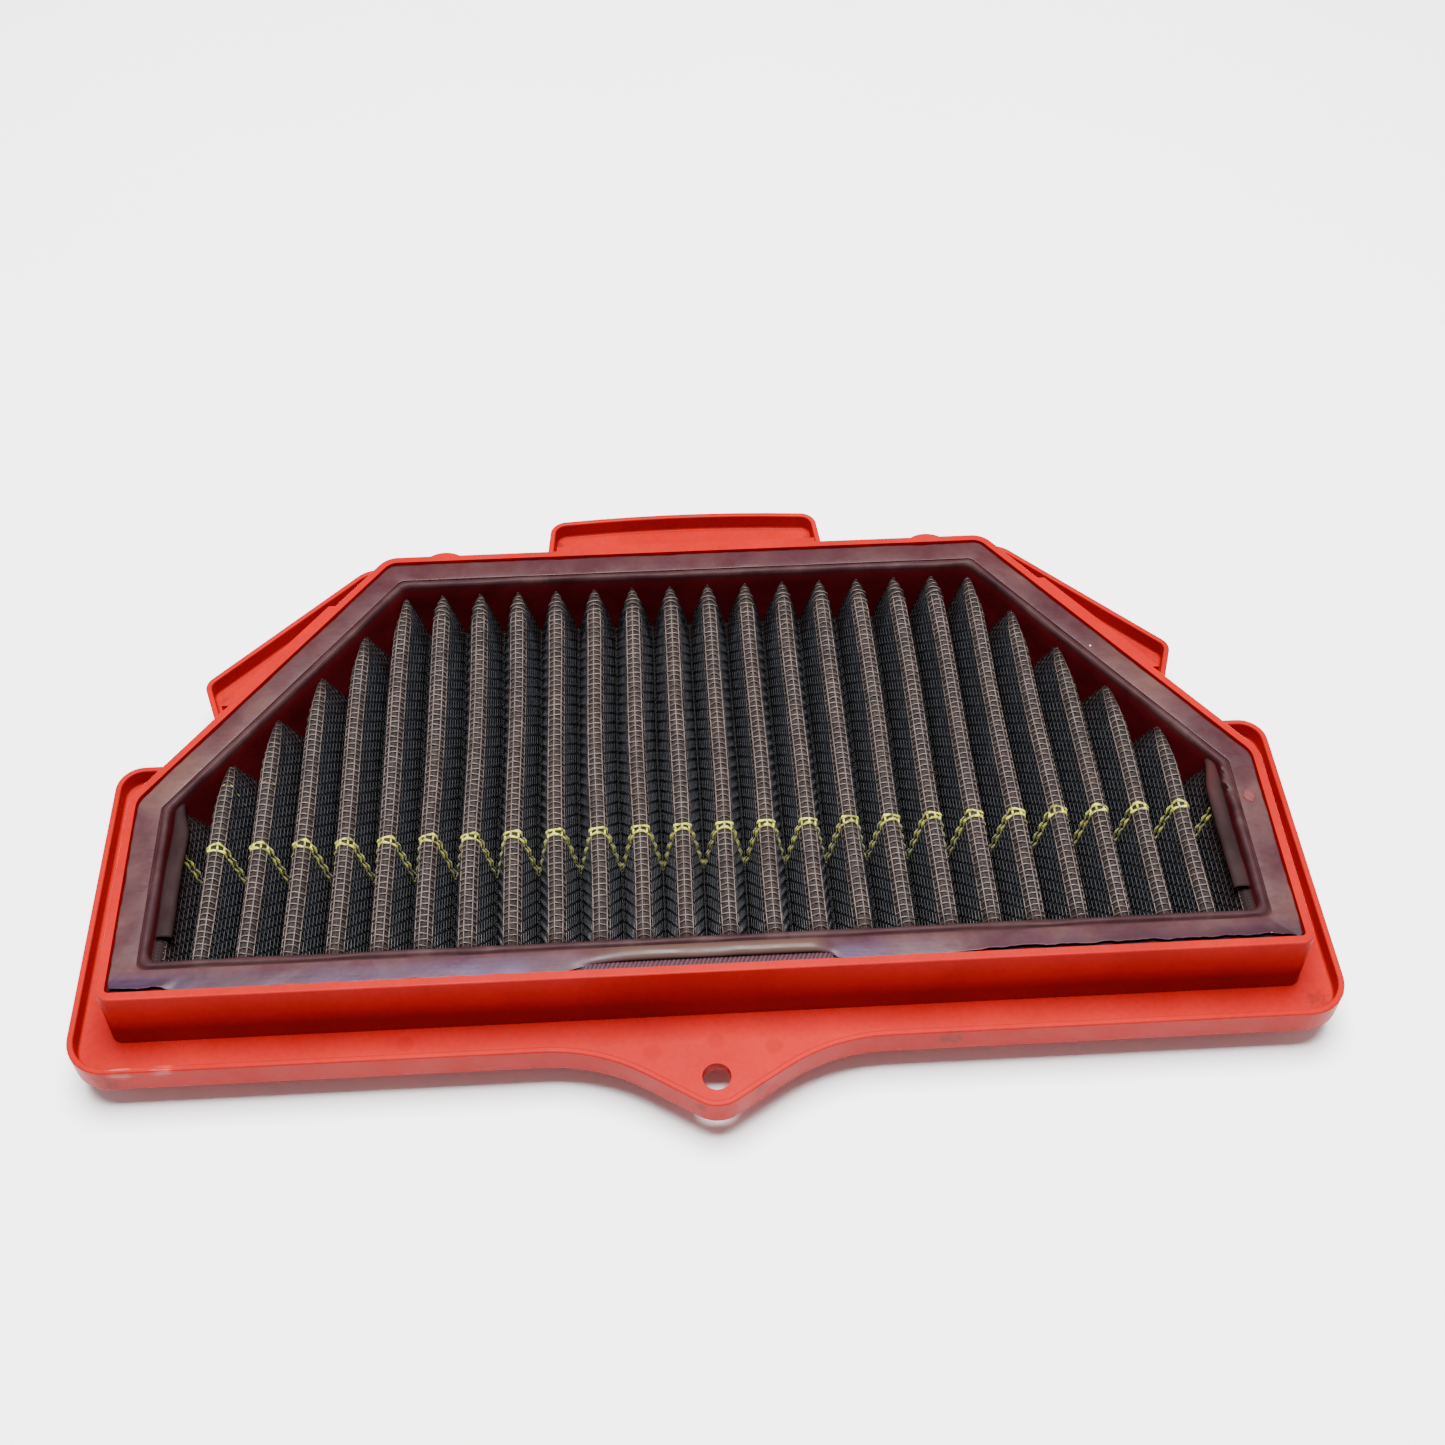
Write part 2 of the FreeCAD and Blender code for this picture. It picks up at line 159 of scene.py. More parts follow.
def fold_path(offset, arc_points=10, flank_points=9):
    """The folded sheet seen along the pleats, at a distance above its middle line.

    Returns x and z, the direction out of the upper side, and the unfolded length.
    """
    half = PITCH / 2.0
    drop = PLEAT_TOP - PLEAT_FOOT - 2.0 * FOLD_RADIUS
    lean = math.atan2(half, drop) - math.asin(2.0 * FOLD_RADIUS / math.hypot(half, drop))
    reach = math.pi / 2.0 - lean
    points, normals = [], []
    for fold in range(-LAST_FOLD, LAST_FOLD + 1):
        up = 1.0 if fold % 2 else -1.0
        centre = np.array((fold * half, (PLEAT_TOP + PLEAT_FOOT + up * drop) / 2.0))
        low = 0.0 if fold == -LAST_FOLD else -reach
        high = 0.0 if fold == LAST_FOLD else reach
        for angle in np.linspace(low, high, arc_points):
            out = np.array((math.sin(angle), up * math.cos(angle)))
            point = centre + (FOLD_RADIUS + up * offset) * out
            if angle == low and points:
                before = points[-1]
                for share in np.linspace(0.0, 1.0, flank_points + 2)[1:-1]:
                    points.append(before + (point - before) * share)
                    normals.append(up * out)
            points.append(point)
            normals.append(up * out)
    points = np.array(points)
    normals = np.array(normals)
    side = np.array(((SCREEN_LOW[0], points[0][1]), (SCREEN_HIGH[0], points[-1][1])))
    points = np.concatenate((side[:1], points, side[1:]))
    normals = np.concatenate((((0.0, 1.0),), normals, ((0.0, 1.0),)))
    steps = np.hypot(*np.diff(points, axis=0).T)
    length = np.concatenate(((0.0,), np.cumsum(steps)))
    return points, normals, length - length[-1] / 2.0


def back_limit(x):
    """How far back the pack reaches at an x, up to the slanting walls."""
    (x0, y0, _), (x1, y1, _) = WALL[1], WALL[2]
    run = np.array((x1 - x0, y1 - y0))
    across = np.array((run[1], -run[0])) / np.hypot(*run)
    inner = np.array((x0, y0)) - across * (SKIRT_INSET - 0.4)
    slanting = inner[1] + (np.abs(x) - inner[0]) * run[1] / run[0]
    return np.minimum(slanting, WALL[2][1] - SKIRT_INSET + 0.4)


def wall_distance(points):
    """Distance of points from the inside of the potting, in plan."""
    nearest = np.full(len(points), 1e9)
    for number, (x, y, _) in enumerate(WALL):
        x1, y1, _ = WALL[(number + 1) % len(WALL)]
        run = np.array((x1 - x, y1 - y))
        inward = np.array((-run[1], run[0])) / np.hypot(*run)
        away = (points[:, 0] - x) * inward[0] + (points[:, 1] - y) * inward[1]
        nearest = np.minimum(nearest, away - SKIRT_INSET)
    return nearest


FRONT_LIMIT = WALL[0][1] + SKIRT_INSET - 0.4


def flipped(points, underside):
    """The same shape on the underside: turned over about the middle height."""
    points = np.array(points, float)
    if underside:
        points[:, 2] = HEIGHT - points[:, 2]
    return points


def weave_at(path, along):
    """Positions and outward directions at unfolded lengths along a folded path."""
    points, normals, length = path
    place = np.stack([np.interp(along, length, points[:, k]) for k in range(2)], 1)
    out = np.stack([np.interp(along, length, normals[:, k]) for k in range(2)], 1)
    return place, out / np.hypot(*out.T)[:, None]


def weft_samples(path):
    """Unfolded lengths at which a cross wire bends: at each warp wire and round each fold."""
    points, normals, length = path
    crossings = np.arange(math.ceil(length[0] / WARP_STEP), length[-1] / WARP_STEP) * WARP_STEP
    turning = np.abs(np.diff(normals[:, 0], append=normals[-1, 0])) > 1e-6
    return np.unique(np.round(np.concatenate((crossings, length[turning][::2])), 3))


def weft_line(path, samples, y, row):
    """One cross wire over and under the long wires, cut off at the edge of the pack.

    Returns its line, and how far over or under each point is, from 1 to -1.
    """
    place, out = weave_at(path, samples)
    inside = (back_limit(place[:, 0]) > y) & (np.abs(place[:, 0]) < WIRE_REACH)
    samples, place, out = samples[inside], place[inside], out[inside]
    over = np.cos(math.pi * (samples / WARP_STEP + row))
    place = place + out * (WEAVE_RISE * over)[:, None]
    wander = 0.10 * ripple(samples, 90.0, 100 + row)
    line = np.stack((place[:, 0], y + wander, place[:, 1]), 1)
    side = np.stack((out[:, 0], np.zeros(len(out)), out[:, 1]), 1)
    rises = np.tile((0.0, 1.0, 0.0), (len(line), 1))
    return (line, side, rises), over


def warp_line(place, out, number, start, end, bends=12):
    """One wire along the pleats, with a slow wander from side to side."""
    y = np.linspace(start, end, bends)
    along = np.array((out[1], -out[0]))
    wander = 0.08 * ripple(y, 70.0, 900 + number % 97)
    line = np.stack((place[0] + along[0] * wander, y, place[1] + along[1] * wander), 1)
    side = np.tile((out[0], 0.0, out[1]), (bends, 1))
    rise = np.tile((along[0], 0.0, along[1]), (bends, 1))
    return line, side, rise


# ---------------------------------------------------------------- rings round the wall


def wall_ring(inset, step=1.0, corner_points=9):
    """Points round the wall's outline at an inset, always the same number of them.

    Returns the points, the inward directions and the side each belongs to.
    """
    points, inward, sides = [], [], []
    count = len(WALL)
    spots = [np.array(corner[:2]) for corner in WALL]
    runs = [spots[(k + 1) % count] - spots[k] for k in range(count)]
    normals = [np.array((-run[1], run[0])) / np.hypot(*run) for run in runs]
    arcs = []
    for k in range(count):
        before, after = normals[k - 1], normals[k]
        radius = max(WALL[k][2] - inset, 1.0, 1.0 + 0.3 * (inset - 4.0))
        depth = inset + radius
        centre = spots[k] + (before + after) * depth / (1.0 + before @ after)
        low = math.atan2(-before[1], -before[0])
        turn = math.atan2(before[0] * after[1] - before[1] * after[0], before @ after)
        angles = low + np.linspace(0.0, turn, corner_points)
        out = np.stack((np.cos(angles), np.sin(angles)), 1)
        arcs.append((centre + radius * out, -out))
    for k in range(count):
        arc, arc_inward = arcs[k]
        points.append(arc)
        inward.append(arc_inward)
        sides += [k] * len(arc)
        number = int(np.hypot(*runs[k]) / step)
        share = np.linspace(0.0, 1.0, number + 2)[1:-1, None]
        points.append(arc[-1] + (arcs[(k + 1) % count][0][0] - arc[-1]) * share)
        inward.append(np.tile(normals[k], (number, 1)))
        sides += [k] * number
    return np.concatenate(points), np.concatenate(inward), np.array(sides)


def ring_sweep(profile, tear):
    """Closed band round the wall. Profile gives each line's inset, height and their unevenness.

    Tear is the size of the ragged stretch of its inner lip at the right-hand side.
    """
    lines = []
    for inset, height, sway, heave, seed in profile:
        points, inward, sides = wall_ring(inset)
        steps = np.hypot(*(np.roll(points, -1, 0) - points).T)
        along = np.cumsum(steps)
        torn = (sides == 0) * smooth_step(-26.0, -20.0, points[:, 1])
        torn = torn * smooth_step(-7.0, -12.0, points[:, 1]) * smooth_step(8.3, 9.4, inset)
        ragged = tear * torn * (0.5 + 0.5 * ripple(along, 4.6, seed))
        points = points + inward * (sway * ripple(along, 41.0, seed) + ragged)[:, None]
        level = height + heave * ripple(along, 57.0, seed + 1) + 0.5 * ragged
        lines.append(np.column_stack((points, level)))
    return np.stack(lines, 1)


# ---------------------------------------------------------------- materials


class Paint:
    """A Principled material put together node by node."""

    def __init__(self, name, **constants):
        self.material = bpy.data.materials.new(name)
        self.material.use_nodes = True
        self.tree = self.material.node_tree
        self.shader = self.tree.nodes["Principled BSDF"]
        for key, value in constants.items():
            self.shader.inputs[key.replace("_", " ")].default_value = value
        self.place = self.node("ShaderNodeTexCoord").outputs["Object"]

    def node(self, kind, inputs=None, **settings):
        made = self.tree.nodes.new(kind)
        for key, value in settings.items():
            setattr(made, key, value)
        for key, value in (inputs or {}).items():
            if isinstance(value, bpy.types.NodeSocket):
                self.tree.links.new(value, made.inputs[key])
            else:
                made.inputs[key].default_value = value
        return made

    def noise(self, size, detail=4.0, roughness=0.55, place=None, stretch=None, distortion=0.0):
        """Noise whose blobs are about this many millimetres across."""
        source = place or self.place
        if stretch:
            source = self.node("ShaderNodeMapping", {"Vector": source, "Scale": stretch}).outputs[0]
        return self.node(
            "ShaderNodeTexNoise",
            {
                "Vector": source,
                "Scale": 1.0 / (size * MM),
                "Detail": detail,
                "Roughness": roughness,
                "Distortion": distortion,
            },
        ).outputs["Fac"]

    def ramp(self, value, *stops):
        """Colour for a value: stops are pairs of position and colour or grey."""
        ramp = self.node("ShaderNodeValToRGB", {"Fac": value})
        bar = ramp.color_ramp.elements
        while len(bar) < len(stops):
            bar.new(0.5)
        for element, (position, colour) in zip(bar, stops):
            element.position = position
            rgb = (colour,) * 3 if isinstance(colour, float) else colour
            element.color = (*rgb, 1.0)
        return ramp.outputs["Color"]

    def mix(self, share, first, second, blend="MIX"):
        mixer = self.node("ShaderNodeMix", data_type="RGBA", blend_type=blend)
        for socket, value in ((0, share), (6, first), (7, second)):
            if isinstance(value, bpy.types.NodeSocket):
                self.tree.links.new(value, mixer.inputs[socket])
            elif socket:
                mixer.inputs[socket].default_value = (*value, 1.0)
            else:
                mixer.inputs[socket].default_value = value
        return mixer.outputs[2]

    def maths(self, operation, first, second=0.0, clamp=False):
        made = self.node("ShaderNodeMath", {0: first, 1: second}, operation=operation)
        made.use_clamp = clamp
        return made.outputs[0]

    def axis(self, letter, place=None):
        split = self.node("ShaderNodeSeparateXYZ", {"Vector": place or self.place})
        return split.outputs[letter]

    def band(self, value, low, high, clamp=True):
        """0 at low and 1 at high, in millimetres of the object's own space."""
        made = self.node(
            "ShaderNodeMapRange", {"Value": value, "From Min": low * MM, "From Max": high * MM}
        )
        made.clamp = clamp
        return made.outputs[0]

    def near(self, centre, radius, soft=0.6):
        """1 close to a point of the part and 0 beyond the radius."""
        gap = self.node(
            "ShaderNodeVectorMath",
            {0: self.place, 1: tuple(v * MM for v in centre)},
            operation="DISTANCE",
        ).outputs["Value"]
        return self.band(gap, radius, radius * (1.0 - soft))

    def field(self, name):
        return self.node("ShaderNodeAttribute", attribute_name=name).outputs["Fac"]

    def weave(self):
        return self.node("ShaderNodeUVMap", uv_map="weave").outputs["UV"]

    def colour(self, socket):
        self.tree.links.new(socket, self.shader.inputs["Base Color"])

    def roughness(self, socket):
        self.tree.links.new(socket, self.shader.inputs["Roughness"])

    def bumps(self, *heights):
        """Bumps one over the other: pairs of height socket and depth in millimetres."""
        normal = None
        for height, depth in heights:
            inputs = {"Height": height, "Strength": 1.0, "Distance": depth * MM}
            if normal:
                inputs["Normal"] = normal
            normal = self.node("ShaderNodeBump", inputs).outputs[0]
        self.tree.links.new(normal, self.shader.inputs["Normal"])


def frame_rubber():
    """Moulded red polyurethane: satin, a little cloudy, with scuffs and dirt smudges, painted shade in
    the pockets of the ears, and dust with painted floor bounce light on its rim.
    """
    paint = Paint("frame_rubber", Specular_IOR_Level=0.05, Subsurface_Weight=0.05)
    paint.shader.inputs["Subsurface Radius"].default_value = (1.0, 0.25, 0.15)
    paint.shader.inputs["Subsurface Scale"].default_value = 2.0 * MM
    cloud = paint.noise(28.0, 3.0)
    red = paint.ramp(cloud, (0.3, (0.225, 0.0026, 0.0020)), (0.7, (0.285, 0.0040, 0.0030)))
    speckle = paint.ramp(paint.noise(1.3, 2.0), (0.35, 0.93), (0.6, 1.0))
    red = paint.mix(1.0, red, speckle, "MULTIPLY")
    # The upright faces of the outer rim are painted paler pink in blotches: partly dust, and partly
    # painted light standing for the light bounced up onto them from the floor.
    facing = paint.axis("Z", paint.node("ShaderNodeNewGeometry").outputs["Normal"])
    upright = paint.maths("SUBTRACT", 1.0, paint.maths("ABSOLUTE", facing), clamp=True)
    side = paint.band(paint.maths("ABSOLUTE", paint.axis("X")), 140.9, 141.5)
    rim = paint.maths("MAXIMUM", side, paint.band(paint.axis("Y"), -74.6, -75.4))
    dust = paint.ramp(paint.noise(9.0, 6.0, 0.62), (0.40, 0.10), (0.75, 0.34))
    dusty = paint.maths("MULTIPLY", paint.maths("MULTIPLY", rim, upright), dust)
    red = paint.mix(dusty, red, (0.20, 0.034, 0.030))
    # Dark patches over a fine noise: dirt smudges by the tab, along the front rim and at its left
    # corner; the spots at both sides of the back ear and in the inner corners of the side ears are
    # painted shade, standing for shadow in those deep pockets beside the wall; the spot beside the right
    # front corner of the wall only darkens the floor there.
    smudge_and_shade_noise = paint.noise(1.6, 5.0, 0.7)
    marks = (
        ((9.7, -86.1, 13.5), 4.0),
        ((-4.0, -90.5, 13.0), 3.5),
        ((52.0, -75.8, 12.5), 6.0),
        ((-133.0, -75.7, 11.5), 7.0),
        ((-34.5, 84.5, 11.0), 3.5),
        ((34.5, 84.5, 11.0), 3.0),
        ((119.0, 33.0, 11.0), 4.0),
        ((-119.0, 33.0, 11.0), 4.0),
        ((136.0, -70.0, 11.0), 6.0),
    )
    for centre, radius in marks:
        patch = paint.maths("MULTIPLY", paint.near(centre, radius, 0.7), smudge_and_shade_noise)
        share = paint.maths("MULTIPLY", paint.band(patch, 0.34 / MM, 0.60 / MM), 0.6)
        red = paint.mix(share, red, (0.055, 0.012, 0.010))
    for centre in ((0.3, -72.5, 10.8), (13.0, -74.4, 10.8), (-13.8, -74.4, 10.8), (-68.4, -69.4, 10.8)):
        disc = paint.maths("MULTIPLY", paint.near(centre, 2.2, 0.25), 0.5)
        red = paint.mix(disc, red, (0.21, 0.0004, 0.0002))
    scuff = paint.noise(0.5, 3.0, 0.6, stretch=(0.05, 1.0, 1.0))
    for centre, radius in (((-129.0, -75.4, 15.2), 9.0), ((-120.0, -75.4, 15.2), 7.0)):
        patch = paint.maths("MULTIPLY", paint.near(centre, radius, 0.8), scuff)
        share = paint.maths("MULTIPLY", paint.band(patch, 0.44 / MM, 0.64 / MM), 0.45)
        red = paint.mix(share, red, (0.42, 0.17, 0.14))
    paint.colour(red)
    rough = paint.ramp(paint.noise(12.0, 5.0), (0.3, 0.36), (0.7, 0.52))
    paint.roughness(rough)
    paint.bumps((paint.noise(35.0, 2.0), 0.10), (paint.noise(0.9, 3.0), 0.02))
    return paint.material


def potting():
    """Cast maroon polyurethane with faint flow marks, and painted shade along the front under the edge
    of the film.
    """
    paint = Paint("potting", Specular_IOR_Level=0.06)
    flow = paint.noise(14.0, 5.0, 0.6, distortion=0.6)
    maroon = paint.ramp(
        flow, (0.3, (0.015, 0.0045, 0.006)), (0.55, (0.027, 0.011, 0.012)), (0.75, (0.044, 0.023, 0.022))
    )
    deep = paint.ramp(flow, (0.3, (0.050, 0.0020, 0.0034)), (0.7, (0.095, 0.0042, 0.0070)))
    depth = paint.maths("ABSOLUTE", paint.maths("SUBTRACT", paint.axis("Z"), HEIGHT * MM / 2.0))
    upper = paint.band(depth, 11.0, 13.0)
    # Painted shade: along the front, the outer strip of the ring under the lifted edge of the film is
    # darkened nearly to black, so that the gap beneath the film looks shadowed.
    maroon = paint.mix(paint.band(paint.axis("Y"), -61.4, -62.2), maroon, (0.007, 0.002, 0.004))
    maroon = paint.mix(paint.near((128.0, -23.8, 27.4), 3.2, 0.4), maroon, (0.085, 0.026, 0.026))
    paint.colour(paint.mix(upper, deep, maroon))
    paint.roughness(paint.ramp(paint.noise(5.0, 4.0), (0.3, 0.42), (0.7, 0.62)))
    paint.bumps((paint.noise(7.0, 3.0), 0.12), (paint.noise(0.8, 2.0), 0.03))
    return paint.material


def seal_film():
    """Thin glossy skin: maroon brown, rubbed matte in patches, with a painted purple sheen on the front
    stretch and painted shade toward both sides of it.
    """
    paint = Paint("seal_film", Specular_IOR_Level=0.14)
    rubbed = paint.noise(22.0, 6.0, 0.62, distortion=0.4)
    skin = paint.ramp(
        rubbed,
        (0.32, (0.025, 0.0075, 0.010)),
        (0.5, (0.040, 0.015, 0.016)),
        (0.68, (0.062, 0.028, 0.024)),
    )
    streaks = paint.noise(2.4, 3.0, 0.5, stretch=(0.07, 1.0, 1.0))
    # Painted reflection: a streaky purple sheen painted into the colour of the front stretch, in
    # patches, fading out toward the right.
    violet_sheen = paint.ramp(streaks, (0.35, (0.024, 0.011, 0.042)), (0.65, (0.052, 0.028, 0.058)))
    patches = paint.ramp(paint.noise(17.0, 3.0, 0.5), (0.36, 0.15), (0.62, 0.85))
    front = paint.band(paint.axis("Y"), -57.5, -61.5)
    # Painted shade: toward both sides the front stretch is darkened, so that only its middle looks as if
    # it caught the light.
    painted_dim_ends = paint.band(paint.maths("ABSOLUTE", paint.axis("X")), 65.0, 115.0)
    painted_dim_ends = paint.maths("MULTIPLY", paint.maths("MULTIPLY", front, painted_dim_ends), 0.55)
    front = paint.maths("MULTIPLY", front, patches)
    fading = paint.ramp(paint.band(paint.axis("X"), 40.0, 75.0), (0.0, 1.0), (1.0, 0.25))
    front = paint.maths("MULTIPLY", front, fading)
    skin = paint.mix(front, skin, violet_sheen)
    skin = paint.mix(painted_dim_ends, skin, (0.014, 0.006, 0.009))
    back = paint.maths("MULTIPLY", paint.band(paint.axis("Y"), 48.0, 56.0), 0.6)
    skin = paint.mix(back, skin, (0.026, 0.005, 0.008))
    skin = paint.mix(paint.maths("MULTIPLY", paint.field("curl"), 0.85), skin, (0.056, 0.031, 0.024))
    cell = paint.node("ShaderNodeTexVoronoi", {"Vector": paint.place, "Scale": 1.0 / 0.011})
    speck = paint.ramp(cell.outputs["Distance"], (0.018, 1.0), (0.024, 0.0))
    skin = paint.mix(paint.maths("MULTIPLY", speck, 0.8), skin, (0.55, 0.50, 0.52))
    paint.colour(skin)
    paint.roughness(paint.ramp(paint.noise(6.0, 5.0), (0.3, 0.26), (0.7, 0.52)))
    paint.bumps((paint.noise(10.0, 3.0), 0.18), (paint.noise(1.4, 3.0), 0.03), (streaks, 0.05))
    return paint.material


def screen_wire(name, dim):
    """Coated woven wire: grey brown on the ridges, bluer and darker by dim down the flanks, with painted
    shade darkening it toward the bottom of the valleys.
    """
    paint = Paint(name, Metallic=0.1, Specular_IOR_Level=0.4)
    tone = paint.noise(6.0, 4.0)
    top = paint.ramp(tone, (0.3, (0.044, 0.032, 0.028)), (0.7, (0.102, 0.074, 0.064)))
    flank = paint.ramp(tone, (0.3, (0.018, 0.020, 0.026)), (0.7, (0.050, 0.053, 0.064)))
    flank = paint.mix(1.0, flank, (dim, dim, dim), "MULTIPLY")
    height = paint.field("crest")
    # Painted shade: the wire goes nearly black toward the bottom of the valleys.
    valley_shade = paint.ramp(height, (0.15, (0.0012, 0.0012, 0.0018)), (0.80, (0.018, 0.019, 0.025)))
    metal = paint.mix(paint.ramp(height, (0.45, 0.0), (0.85, 1.0)), valley_shade, flank)
    metal = paint.mix(paint.ramp(height, (0.86, 0.0), (0.985, 1.0)), metal, top)
    wet = paint.ramp(paint.field("wall"), (0.0, 0.9), (1.0, 0.0))
    paint.colour(paint.mix(wet, metal, (0.014, 0.006, 0.006)))
    paint.roughness(paint.ramp(paint.noise(3.0, 3.0), (0.3, 0.32), (0.7, 0.55)))
    paint.bumps((paint.noise(0.3, 2.0), 0.01))
    return paint.material


def cotton_gauze():
    """Oiled gauze: taupe with dust on the crests and blue black down the flanks, where the oiled cloth
    is darkened further with painted shade.
    """
    paint = Paint("cotton_gauze", Specular_IOR_Level=0.12, Sheen_Weight=0.03)
    cloth = paint.weave()
    thread_a = paint.node(
        "ShaderNodeTexWave",
        {"Vector": cloth, "Scale": 0.32, "Distortion": 1.5, "Detail": 2.0, "Detail Scale": 2.0},
        bands_direction="X",
    ).outputs["Fac"]
    thread_b = paint.node(
        "ShaderNodeTexWave",
        {"Vector": cloth, "Scale": 0.36, "Distortion": 1.5, "Detail": 2.0, "Detail Scale": 2.0},
        bands_direction="Y",
    ).outputs["Fac"]
    threads = paint.maths("MAXIMUM", thread_a, thread_b)
    tone = paint.noise(5.0, 5.0, 0.6)
    dusty = paint.ramp(tone, (0.3, (0.006, 0.0045, 0.0045)), (0.7, (0.022, 0.016, 0.014)))
    # Below the crests the cloth is oiled dark, and painted darker still: painted shade down the flanks
    # and in the valleys.
    oiled_and_shaded = paint.ramp(tone, (0.3, (0.0010, 0.0010, 0.0016)), (0.7, (0.0045, 0.0045, 0.0065)))
    crest = paint.ramp(paint.field("crest"), (0.90, 0.0), (0.995, 1.0))
    cotton = paint.mix(crest, oiled_and_shaded, dusty)
    shade = paint.ramp(threads, (0.2, 0.55), (0.8, 1.0))
    cotton = paint.mix(1.0, cotton, shade, "MULTIPLY")
    wet = paint.ramp(paint.field("wall"), (0.0, 0.95), (1.0, 0.0))
    paint.colour(paint.mix(wet, cotton, (0.008, 0.0025, 0.0025)))
    paint.roughness(paint.ramp(threads, (0.2, 0.9), (0.8, 0.66)))
    paint.bumps((threads, 0.12), (paint.noise(0.5, 3.0), 0.05))
    return paint.material


def inner_gauze():
    """The gauze layers that lie inside the pack: the same oiled cotton, with no dust on it."""
    paint = Paint("inner_gauze", Specular_IOR_Level=0.12, Sheen_Weight=0.03)
    tone = paint.noise(4.0, 5.0, 0.6)
    paint.colour(paint.ramp(tone, (0.3, (0.010, 0.010, 0.016)), (0.7, (0.040, 0.038, 0.048))))
    paint.roughness(paint.ramp(tone, (0.3, 0.92), (0.7, 0.75)))
    paint.bumps((paint.noise(0.5, 3.0), 0.08))
    return paint.material


def tracer_yarn():
    """Yellow marker: bright, with worn and oil-darkened lengths, and painted shade toward the bottom of
    the valleys.
    """
    paint = Paint("tracer_yarn", Specular_IOR_Level=0.35, Sheen_Weight=0.1)
    tone = paint.noise(1.4, 4.0, 0.6)
    bright = paint.ramp(tone, (0.38, (0.07, 0.065, 0.012)), (0.58, (0.50, 0.49, 0.06)))
    # Painted shade: the yarn darkens toward the bottom of the valleys.
    deep = paint.ramp(paint.field("crest"), (0.05, 0.25), (0.75, 1.0))
    paint.colour(paint.mix(1.0, bright, deep, "MULTIPLY"))
    paint.roughness(paint.ramp(tone, (0.3, 0.7), (0.7, 0.45)))
    paint.bumps((paint.noise(0.25, 2.0), 0.03))
    return paint.material


def end_strip():
    """Brown strip smeared with potting."""
    paint = Paint("end_strip", Specular_IOR_Level=0.06)
    smear = paint.noise(9.0, 5.0, 0.6, stretch=(1.0, 0.35, 1.0))
    paint.colour(
        paint.ramp(
            smear,
            (0.3, (0.007, 0.0022, 0.0025)),
            (0.55, (0.014, 0.0065, 0.0065)),
            (0.75, (0.032, 0.007, 0.0065)),
        )
    )
    paint.roughness(paint.ramp(paint.noise(4.0, 4.0), (0.3, 0.50), (0.7, 0.70)))
    paint.bumps((paint.noise(3.0, 3.0), 0.08))
    return paint.material


def screen_hem():
    """Selvedge cords of the screen, soaked pink and maroon."""
    paint = Paint("screen_hem", Specular_IOR_Level=0.15)
    tone = paint.noise(1.1, 4.0, 0.6)
    crest = paint.ramp(paint.field("crest"), (0.15, 0.18), (0.85, 1.0))
    cord = paint.ramp(tone, (0.3, (0.024, 0.006, 0.010)), (0.7, (0.056, 0.017, 0.025)))
    paint.colour(paint.mix(1.0, cord, crest, "MULTIPLY"))
    paint.roughness(paint.ramp(tone, (0.3, 0.45), (0.7, 0.7)))
    paint.bumps((paint.noise(0.35, 3.0), 0.04))
    return paint.material


def pale_floor():
    paint = Paint("pale_floor", Specular_IOR_Level=0.2)
    tone = paint.noise(120.0, 3.0)
    paint.colour(paint.ramp(tone, (0.3, (0.93, 0.93, 0.93)), (0.7, (0.95, 0.95, 0.95))))
    paint.roughness(paint.ramp(paint.noise(30.0, 3.0), (0.3, 0.75), (0.7, 0.85)))
    return paint.material


# ---------------------------------------------------------------- building

RUBBER = frame_rubber()
POTTING = potting()
FILM = seal_film()
CROSS_WIRE = screen_wire("cross_wire", 1.1)
LONG_WIRE = screen_wire("long_wire", 0.12)
GAUZE = cotton_gauze()
INNER_GAUZE = inner_gauze()
YARN = tracer_yarn()
STRIP = end_strip()
HEM = screen_hem()


def crest_of(points):
    """0 at the bottom of a valley and 1 at the top of a ridge."""
    return np.clip((points[:, 2] - PLEAT_FOOT) / (PLEAT_TOP - PLEAT_FOOT), 0.0, 1.0)


def settled(points):
    """The pack as it lies: ridges wander a little, and narrow and sink where potting holds them."""
    points = np.array(points, float)
    x, y = points[:, 0], points[:, 1]
    sway = np.sin(0.113 * x + 1.3) * np.sin(0.047 * y + 0.7) + 0.6 * np.sin(0.071 * x - 0.083 * y)
    ridge = (2.0 * np.floor(x / PITCH) + 1.0) * PITCH / 2.0
    held = np.clip(1.0 - wall_distance(points) / 6.5, 0.0, 1.0) ** 1.6
    held = held * smooth_step(-52.0, -40.0, y) * crest_of(points) ** 2
    points[:, 0] = x + 0.22 * sway + (ridge - x) * 0.6 * held
    points[:, 2] -= 1.5 * held
    return points


def pack_piece(name, points, faces, material, underside=False, uv=None):
    """Piece of the pack, with each point's share of the height and distance from the potting."""
    crest = crest_of(points)
    dry = np.minimum(wall_distance(points) / 5.0, (WIRE_REACH - 0.9 - np.abs(points[:, 0])) / 1.5)
    values = {"crest": 1.0 - crest if underside else crest, "wall": np.clip(dry, 0.0, 1.0)}
    return piece(name, settled(points), faces, material, uv=uv, values=values)


ROWS = np.arange(
    math.ceil((FRONT_LIMIT - FRONT_TRACER) / WEFT_STEP - 0.5),
    (SCREEN_HIGH[1] + 0.4 - FRONT_TRACER) / WEFT_STEP - 0.5,
).astype(int)


def row_place(row):
    return FRONT_TRACER + (row + 0.5) * WEFT_STEP


